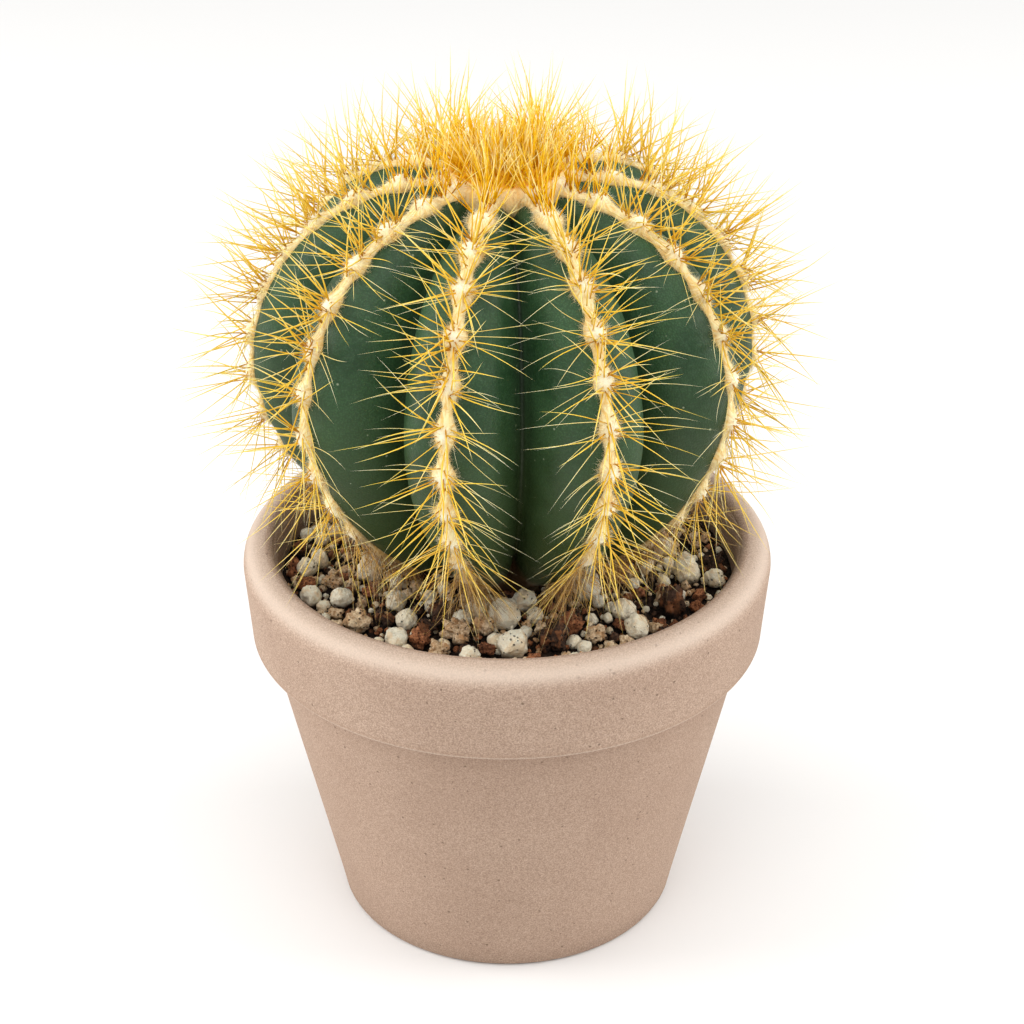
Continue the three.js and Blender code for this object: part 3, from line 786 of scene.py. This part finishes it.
def pot_profile():
    """Radius and height round the pot's section: up the inside, over the lip and down the outside."""
    wall_foot = (BASE_RADIUS + 0.2 * MM, EDGE_ROUND)
    wall_head = (WALL_TOP_RADIUS, BAND_FOOT - 0.3 * MM)
    band_low = (RIM_LOW_RADIUS - BAND_ROUND, BAND_FOOT + BAND_ROUND)
    lip = (RIM_RADIUS - LIP_ROUND, POT_HEIGHT - LIP_ROUND)
    inner_lip = (RIM_RADIUS - LIP_ROUND - MOUTH_RADIUS) * 0.9
    inside_top = (pot_inner_radius(POT_HEIGHT - inner_lip), POT_HEIGHT - inner_lip)
    inside_mid = (pot_inner_radius(BAND_FOOT), BAND_FOOT)
    inside_foot = (pot_inner_radius(FLOOR_THICKNESS + 2 * MM), FLOOR_THICKNESS + 2 * MM)
    floor_edge = (inside_foot[0] - 2 * MM, FLOOR_THICKNESS)
    drain_top = (DRAIN_RADIUS, FLOOR_THICKNESS)
    profile = [(DRAIN_RADIUS, 0.0), *straight((DRAIN_RADIUS, 0), (BASE_RADIUS - EDGE_ROUND, 0), 6)]
    profile += arc((BASE_RADIUS - EDGE_ROUND, EDGE_ROUND), EDGE_ROUND, -90, -8, 5)
    profile += [wall_foot, *straight(wall_foot, wall_head, 18), wall_head]
    profile += [(WALL_TOP_RADIUS + 0.6 * MM, BAND_FOOT)]
    profile += arc(band_low, BAND_ROUND, -90, 0, 6)
    slope = (RIM_RADIUS - RIM_LOW_RADIUS) / (lip[1] - band_low[1])
    for up in (0.2, 0.4, 0.6, 0.9, 1.3):
        profile.append((RIM_LOW_RADIUS + slope * up * MM, band_low[1] + up * MM))
    profile += straight((RIM_LOW_RADIUS, band_low[1]), (RIM_RADIUS, lip[1]), 8)
    profile += arc(lip, LIP_ROUND, 0, 90, 14)
    profile += arc((lip[0], POT_HEIGHT - inner_lip), inner_lip, 90, 172, 6)[1:]
    profile += [inside_top, *straight(inside_top, inside_mid, 5), inside_mid]
    profile += [*straight(inside_mid, inside_foot, 8), inside_foot, floor_edge]
    profile += [*straight(floor_edge, drain_top, 5), drain_top, (DRAIN_RADIUS, FLOOR_THICKNESS / 2)]
    return np.array(profile[::-1])


def clay_pot(material):
    profile = pot_profile()
    angles = even_angles(POT_SIDES)[None, :]
    radius = profile[:, :1] + 0 * angles
    height = profile[:, 1:] + 0 * angles
    outer = (height > 2 * MM) & (radius > 20 * MM)
    uneven = ripple([(2, 30, 0.4), (3, -55, 1.9), (5, 80, 4.1)], angles, height)
    radius = radius + np.where(outer, uneven * 0.1 * MM, 0)

    def near(level, width, inner_radius):
        """1 at a level, fading above and below it, on the faces beyond a radius."""
        return np.exp(-((height - level) / width) ** 2) * (radius > inner_radius)

    # Pale edges, partly wear and partly painted highlight: the lip's outer shoulder and a thin line at the
    # band's foot.
    lip_highlight_and_wear = near(POT_HEIGHT - 1.6 * MM, 1.7 * MM, RIM_RADIUS - LIP_ROUND + 0.5 * MM)
    band_highlight_and_wear = near(BAND_FOOT + 0.15 * MM, 0.25 * MM, WALL_TOP_RADIUS)
    # A thin darker line just above the band's foot.
    band_foot_line = near(BAND_FOOT + 0.9 * MM, 0.4 * MM, WALL_TOP_RADIUS)
    # Painted shade: the whole wall below the band is a little darker, and darkest just under the band.
    below = np.exp(-np.clip(BAND_FOOT - height, 0, None) / (5 * MM)) * (height < BAND_FOOT)
    mesh = ring_mesh("clay_pot", around(radius, angles, height), edge=0.6 * lip_highlight_and_wear + 0.5 * band_highlight_and_wear,
                     shade=0.10 * (height < BAND_FOOT) + 0.25 * below + 0.3 * band_foot_line)
    pot = placed("clay_pot", mesh, material)
    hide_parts("pot")
    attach(pot, "root")


# ---- soil and stones ----

def soil_bed(material):
    rng = np.random.default_rng(11)
    angles = even_angles(SOIL_SIDES)
    hole = FOOT_RADIUS + 2 * GAP
    hole_floor = SOIL_LEVEL - FOOT_DEPTH - 2 * GAP
    edge = pot_inner_radius(SOIL_LEVEL) - GAP
    surface = SOIL_LEVEL - 1.4 * MM
    rings = [around(hole * 0.55, angles, hole_floor), around(hole, angles, surface)]
    for radius in np.linspace(hole + 0.5 * MM, edge - 0.5 * MM, SOIL_RINGS):
        rings.append(around(radius, angles, surface + rng.uniform(-0.8, 0.8, SOIL_SIDES) * MM))
    rings.append(around(edge, angles, surface))
    for height in (BAND_FOOT, FLOOR_THICKNESS + GAP):
        rings.append(around(pot_inner_radius(height) - GAP, angles, height))
    mesh = ring_mesh("soil_bed", rings, (0, 0, hole_floor), (0, 0, FLOOR_THICKNESS + GAP),
                     tone=np.full((len(rings), SOIL_SIDES), 0.3))
    bed = placed("soil_bed", mesh, material)
    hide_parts("gritty_soil")
    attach(bed, "root")


def scattered(rng, sizes, taken, overlap, tries=60):
    """Places for stones of these half-widths, each clear of the stones that lie there already."""
    wall = pot_inner_radius(SOIL_LEVEL) - 0.6 * MM
    places = []
    for half in sizes:
        for _ in range(tries):
            low, high = FOOT_RADIUS + 1 * MM + half, wall - half
            radius = math.sqrt(rng.uniform(low ** 2, high ** 2))
            spot = around(radius, rng.uniform(0, FULL_TURN), SOIL_LEVEL)
            distances = np.linalg.norm([other - spot for other, _ in taken], axis=1)
            if (distances > overlap * (np.array([size for _, size in taken]) + half)).all():
                taken.append((spot, half))
                places.append((spot, half))
                break
    return places


def stone_pieces(tree, materials):
    rng = np.random.default_rng(5)
    kinds = list(FRONT_STONES)
    front = []
    front_picks = []
    for index, stones in enumerate(FRONT_STONES.values()):
        for x, y, half in stones:
            front.append((np.array([x, y, SOIL_LEVEL / MM]) * MM, half * MM))
            front_picks.append(index)
    taken = list(front)
    # Each layer: half-widths, room between stones, share of each kind, detail, how high one sits.
    layers = {
        "large": (np.linspace(3.6, 2.2, 52) * MM, 0.86, [0.36, 0.26, 0.22, 0.16], 4, 0.36),
        "middle": (rng.uniform(1.2, 2.1, 230) * MM, 0.82, [0.28, 0.32, 0.22, 0.18], 3, -0.05),
        "small": (rng.uniform(0.5, 1.1, 1100) * MM, 0.66, [0.22, 0.34, 0.22, 0.22], 2, -1.2),
    }
    for layer, (sizes, overlap, chances, detail, rise) in layers.items():
        places = scattered(rng, sizes, taken, overlap)
        picks = rng.choice(len(kinds), len(places), p=chances)
        if layer == "large":
            places = front + places
            picks = np.concatenate([front_picks, picks])
        for index, kind in enumerate(kinds):
            mine = [place for place, pick in zip(places, picks) if pick == index]
            spots = np.array([spot for spot, _ in mine])
            halves = np.array([half for _, half in mine])
            form, vary, flat = (ROUND_STONE, 0.07, 0.9) if kind == "pumice" else (BROKEN_STONE, 0.22, 0.85)
            spots[:, 2] += rise * halves + rng.uniform(0, 0.5, len(mine)) * MM
            size = halves[:, None] * rng.uniform(1 - vary, 1 + vary, (len(mine), 3))
            size[:, 2] *= flat
            spin = rng.uniform(0, FULL_TURN, (len(mine), 3))
            mesh = point_mesh(f"{kind}_places", spots, size=size, centre=spots, spin=spin)
            piece = grown(f"{kind}_{layer}", mesh, tree, detail=detail, seed=17 + index,
                          material=materials[kind], lump_scale=1.3, **form)
            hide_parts("gritty_soil")
            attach(piece, "root")


# ---- stem ----

def outline(size, angle):
    """Radius and height on the globe's outline at an angle from its top."""
    angle = np.asarray(angle, float)
    high = angle < math.pi / 2
    lift = np.abs(np.cos(angle)) ** np.where(high, 1.13, 1.15)
    radius = size["radius"] * np.sin(angle) ** np.where(high, 0.62, 1.12)
    height = STEM_MIDDLE + np.where(high, size["rise"] * lift, -size["fall"] * lift)
    return radius, height


def crest_outline(rib, angle):
    """The outline along one rib's crest, as no two ribs are quite alike."""
    radius, height = outline(CREST, angle)
    return radius + RIB_FULLNESS[rib] * MM * np.sin(angle), height


TRACK_ANGLES = np.linspace(FELT_START, BAND_END, 2001)


def rib_track(rib):
    """One rib's crest line and each point's share of it, 0 where its areoles start and 1 at their end."""
    line = np.stack(crest_outline(rib, TRACK_ANGLES), axis=1)
    length = np.concatenate([[0], np.cumsum(np.linalg.norm(np.diff(line, axis=0), axis=1))])
    start = np.interp(BAND_START, TRACK_ANGLES, length)
    return line, (length - start) / (length[-1] - start)


TRACKS = [rib_track(rib) for rib in range(RIBS)]
FIRST_SHARE = TRACKS[0][1][0]


def share_at(angle):
    """How far along the crests an outline angle is."""
    return np.interp(angle, TRACK_ANGLES, TRACKS[0][1])


def wander(rib, share):
    """How far a crest strays sideways from its even place."""
    fade = np.sin(math.pi * np.clip(share, 0, 1))
    return 0.6 * MM * np.sin(FULL_TURN * (1.1 * share + 0.37 * rib)) * fade


def swelling(share):
    """1 at each areole and 0 halfway between two."""
    return 0.5 - 0.5 * np.cos(FULL_TURN * AREOLES * share)


def cactus_stem(material):
    angles = np.linspace(STEM_START, STEM_END, STEM_LEVELS)
    shares = share_at(angles)
    offsets = -1 + 2 * (np.arange(FLANK_STEPS) + 0.5) / FLANK_STEPS
    groove_radius, groove_height = outline(GROOVE, angles)
    columns = []
    for rib in range(RIBS):
        crest_radius, crest_height = crest_outline(rib, angles)
        for offset in offsets:
            sink = abs(offset) ** FLANK_POWER
            near = (1 - abs(offset)) ** 2
            radius = crest_radius + (groove_radius - crest_radius) * sink
            radius = radius + 0.55 * MM * (swelling(shares) - 0.5) * near
            height = crest_height + (groove_height - crest_height) * sink
            shift = wander(rib, shares) * near / np.maximum(radius, 5 * MM)
            columns.append(around(radius, FIRST_RIB + (2 * rib + offset) * SECTOR + shift, height))
    rings = np.stack(columns, axis=1)
    from_axis = np.hypot(rings[..., 0], rings[..., 1])
    turn = np.arctan2(rings[..., 0], -rings[..., 1])
    dent = ripple([(3, 120, 0.2), (7, -90, 1.3), (11, 170, 2.9)], turn, rings[..., 2]) * 0.25 * MM
    rings[..., :2] *= (1 + dent / from_axis)[..., None]

    # Below the last ribbed ring the stem draws in to its foot and goes down into the soil.
    last, last_radius, last_turn = rings[-1, :, 2], from_axis[-1], turn[-1]
    foot_rings = []
    for share in np.linspace(0.15, 1, 8):
        radius = last_radius + (FOOT_RADIUS * 0.95 - last_radius) * math.sin(share * math.pi / 2)
        foot_rings.append(around(radius, last_turn, last + (SOIL_LEVEL - 4 * MM - last) * share))
    for depth in (0.5, 1.0):
        radius = FOOT_RADIUS * (0.95 - 0.4 * depth)
        foot_rings.append(around(radius, last_turn, SOIL_LEVEL - FOOT_DEPTH * depth))
    flank = np.tile(np.abs(offsets), (STEM_LEVELS, RIBS))
    foot = np.repeat(np.linspace(0, 1, STEM_LEVELS)[:, None], RIBS * FLANK_STEPS, axis=1)
    below = np.ones((len(foot_rings), RIBS * FLANK_STEPS))
    mesh = ring_mesh("cactus_stem", np.concatenate([rings, foot_rings]), (0, 0, APEX_HEIGHT),
                     (0, 0, SOIL_LEVEL - FOOT_DEPTH), flank=np.concatenate([flank, 0.5 * below]),
                     foot=np.concatenate([foot, below]))
    stem = placed("cactus_stem", mesh, material)
    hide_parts("ribbed_stem")
    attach(stem, "root")


# ---- areoles ----

def track_point(rib, shares):
    line, line_shares = TRACKS[rib]
    return np.stack([np.interp(shares, line_shares, line[:, i]) for i in (0, 1)], axis=1)


def crest_frames(rib, shares, lift=0.0):
    """Points a lift above one rib's crest, with their downhill, outward and sideways directions."""
    shares = np.asarray(shares, float)
    step = 1e-3
    place = track_point(rib, shares)
    ahead = track_point(rib, np.minimum(shares + step, 1))
    slope = ahead - track_point(rib, np.maximum(shares - step, FIRST_SHARE))
    slope /= np.linalg.norm(slope, axis=1)[:, None]
    zero = np.zeros(len(shares))
    along = np.stack([zero, -slope[:, 0], slope[:, 1]], axis=1)
    out = np.stack([zero, slope[:, 1], slope[:, 0]], axis=1)
    side = np.cross(along, out)
    points = np.stack([wander(rib, shares), -place[:, 0], place[:, 1]], axis=1) + lift * out
    angle = FIRST_RIB + 2 * SECTOR * rib
    return [turned_about_axis(v, angle) for v in (points, along, out, side)]


def rib_felt(rib, tree, material):
    """The felt along one crest: soft pads at the areoles on a narrow strip, covered with parting fibres."""
    shares = np.linspace(FIRST_SHARE, 1, FELT_STEPS * AREOLES + 1)
    points, along, out, side = crest_frames(rib, shares)
    swell = swelling(shares) ** 1.3
    old = np.clip((shares - 0.35) / 0.5, 0, 1)
    young = np.clip((0.3 - shares) / 0.25, 0, 1)
    uneven = 1 + 0.12 * ripple([(31, 0.7 * rib), (67, 1.1 * rib), (113, 2.3 * rib)], shares * 2)
    half = (1.1 + 0.6 * young - 0.2 * old + (1.4 - 0.2 * young) * swell) * MM * uneven
    high = (0.6 + 0.25 * young - 0.25 * old + 1.5 * swell) * MM * uneven
    turn = np.linspace(-0.5 * math.pi, 1.5 * math.pi, FELT_SIDES, endpoint=False) + math.pi / FELT_SIDES
    across = half[:, None] * np.cos(turn)
    lift = np.where(np.sin(turn) > 0, high[:, None] * np.sin(turn), 0.5 * MM * np.sin(turn)) - 0.1 * MM
    fuzz = ripple([(211, 5, 0.3), (327, -7, 1.7), (419, 11, 2.6)], shares[:, None] * 2, turn[None, :])
    lift = lift + fuzz * 0.12 * MM
    rings = points[:, None] + side[:, None] * across[..., None] + out[:, None] * lift[..., None]

    # Fibres part from the nearest areole: towards both sides, and up and down between areoles.
    number = np.minimum(np.floor(shares * AREOLES), AREOLES - 1)
    from_pad = (BAND_LENGTH * (shares - (number + 0.5) / AREOLES))[:, None] + 0 * across
    away = side[:, None] * across[..., None] + along[:, None] * from_pad[..., None]
    away /= np.maximum(np.linalg.norm(away, axis=2), 0.3 * MM)[..., None]
    bearing = np.arctan2(across, from_pad)
    distance = np.hypot(across, from_pad) / MM
    outward = 0.35 * distance + 3.7 * number[:, None]
    strand = np.stack([6 * np.cos(bearing), 6 * np.sin(bearing), outward], axis=-1)
    edge = np.cos(turn) ** 2
    ones = np.ones(FELT_SIDES)
    mesh = ring_mesh(
        "felt", rings, points[0], points[-1], foot=shares[:, None] * ones, away=away, strand=strand,
        pad=np.clip(1.3 - 0.55 * distance, 0, 1), fluff=(0.6 + 0.4 * swell)[:, None] * ones,
        cover=(np.sin(turn) > -0.35) * (0.25 + 0.75 * edge) * (1.1 - 0.1 * swell)[:, None],
    )
    felt = grown(f"rib_felt_{rib + 1:02d}", mesh, tree, density=1.5e7, seed=300 + rib, lift=0.5,
                 material=material, **FIBRES)
    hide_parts(f"rib_areoles_{rib + 1:02d}")
    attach(felt, "root")


def spine_piece(name, fan, seed, points, along, out, shares, tree, materials):
    """One fan of spines grown on every areole point given."""
    mesh = point_mesh("areoles", points, out=out, along=along, share=shares)
    *sizes, finish = FANS[fan]
    values = {label: size * unit for (label, unit), size in zip(FAN_SIZES.items(), sizes)}
    piece = grown(name, mesh, tree, seed=seed, floor_low=GRIT_TOP, floor_high=LIP_TOP,
                  material=materials[finish], **values)
    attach(piece, "root")
    return piece


def rib_spines(rib, tree, materials):
    for number, (fan, (shares, lift)) in enumerate(BEARERS.items()):
        points, along, out, _ = crest_frames(rib, shares, lift * MM)
        name = f"rib_{fan}_spines_{rib + 1:02d}"
        seed = 1000 + 97 * rib + 13 * number
        piece = spine_piece(name, fan, seed, points, along, out, shares, tree, materials)
        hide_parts(f"rib_areoles_{rib + 1:02d}")


def crown_felt(tree, material):
    """The felt over the crown, scalloped between the ribs."""
    levels = np.linspace(0.08, 1, CROWN_LEVELS)
    angles = even_angles(CROWN_SIDES)
    lobe = np.cos(RIBS * (angles - FIRST_RIB))
    dip = (1 - lobe) / 2
    reach = (14.0 + 0.6 * lobe) * MM
    top, underside = CROWN_SEAT + CROWN_RISE, CROWN_SEAT - CROWN_DEPTH
    rings = []
    for level in levels:
        height = top - (1.7 * level ** 5 + 1.1 * dip * level ** 3) * MM
        rings.append(around(reach * level, angles, height))
    rings.append(around(reach * 1.03, angles, CROWN_SEAT - (0.5 + 1.5 * dip) * MM))
    rings.append(around(reach * 0.97, angles, CROWN_SEAT - (2.2 + 1.8 * dip) * MM))
    rings.append(around(reach * 0.6, angles, underside))
    shape = (len(rings), len(angles))
    level = np.concatenate([levels, [1, 1, 0]])[:, None] * np.ones(shape)
    strand = np.stack([20 * np.cos(angles) + 0 * level, 20 * np.sin(angles) + 0 * level, 3 * level], axis=-1)
    mesh = ring_mesh(
        "felt", rings, (0, 0, top), (0, 0, underside), foot=np.zeros(shape),
        away=np.broadcast_to(around(1.0, angles, -0.6), (*shape, 3)), strand=strand,
        pad=0.6 * level ** 3 * (1 - 0.85 * dip), fluff=np.ones(shape),
        heart=np.where(level < 0.86, 0.95, 0.4 * dip),
        cover=(level > 0.8) * (0.1 + 0.2 * (level > 0.93)),
    )
    felt = grown("crown_felt", mesh, tree, density=1.2e7, seed=77, lift=0.4, material=material, **FIBRES)
    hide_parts("crown_areoles")
    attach(felt, "root")


def crown_tufts(tree, materials):
    """The crown's upright tuft: stout spines and fine ones, leaning out more towards its rim."""
    rng = np.random.default_rng(21)
    for name, (number, spread) in TUFTS.items():
        order = np.arange(number) + 0.5
        share = (order / number) ** 0.45
        angle = order * math.pi * (3 - math.sqrt(5)) + rng.uniform(-0.2, 0.2, number)
        lean = np.radians(27 * share ** 1.3 + 16 * share ** 8)
        out = around(np.sin(lean), angle, np.cos(lean))
        along = around(np.cos(lean), angle, -np.sin(lean))
        roots = around(spread * share, angle, CROWN_SEAT + (1.8 - 2.6 * share ** 6) * MM)
        shares = np.zeros(number)
        piece = spine_piece(f"crown_{name}", name, 900 + number, roots, along, out, shares, tree, materials)
        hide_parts("crown_areoles")


# ---- studio ----

def aimed(name, data, place, target):
    """Puts a lamp or camera at a place, looking at a target."""
    holder = bpy.data.objects.new(name, data)
    holder.location = place
    holder.rotation_mode = "QUATERNION"
    holder.rotation_quaternion = (Vector(target) - Vector(place)).to_track_quat("-Z", "Y")
    bpy.context.scene.collection.objects.link(holder)
    return holder


def studio():
    """White sweep, soft light from above and both sides, and the camera."""
    mesh = bpy.data.meshes.new("studio_floor")
    corners = [(x * FLOOR_REACH, y * FLOOR_REACH, 0) for x, y in ((-1, -1), (1, -1), (1, 1), (-1, 1))]
    mesh.from_pydata(corners, [], [(0, 1, 2, 3)])
    placed("studio_floor", mesh, floor_material())

    scene = bpy.context.scene
    scene.world = bpy.data.worlds.new("studio")
    scene.world.use_nodes = True
    backdrop = scene.world.node_tree.nodes["Background"]
    backdrop.inputs["Color"].default_value = BACKDROP_COLOUR
    backdrop.inputs["Strength"].default_value = BACKDROP_STRENGTH
    scene.view_settings.view_transform = "Standard"
    for name, (power, size, place) in SOFTBOXES.items():
        lamp = bpy.data.lights.new(name, "AREA")
        lamp.shape = "RECTANGLE"
        lamp.size, lamp.size_y = size
        lamp.energy = power
        aimed(name, lamp, place, LAMP_TARGET)

    lens = bpy.data.cameras.new("camera")
    lens.sensor_width = SENSOR_WIDTH
    lens.lens = FOCAL_LENGTH
    back = Vector((0, -math.cos(CAMERA_ELEVATION), math.sin(CAMERA_ELEVATION)))
    scene.camera = aimed("camera", lens, CAMERA_AIM + CAMERA_DISTANCE * back, CAMERA_AIM)


# ---- assembly ----

studio()

grain = grain_group()
flecks = fleck_group()
spines = spine_tree()
fibres = fibre_tree()
stones = stone_tree()
felt = felt_material(grain)
spine_finishes = {
    kind: spine_material(f"{kind}_spine", *colours, grain) for kind, colours in SPINE_COLOURS.items()
}
stone_finishes = {
    kind: stone_material(kind, *colours, grain, flecks) for kind, colours in STONE_COLOURS.items()
}

clay_pot(clay_material(grain, flecks))
soil_bed(stone_finishes["dark_soil"])
stone_pieces(stones, stone_finishes)
cactus_stem(skin_material(grain, flecks))
for rib_number in range(RIBS):
    rib_felt(rib_number, fibres, felt)
    rib_spines(rib_number, spines, spine_finishes)
crown_felt(fibres, felt)
crown_tufts(spines, spine_finishes)
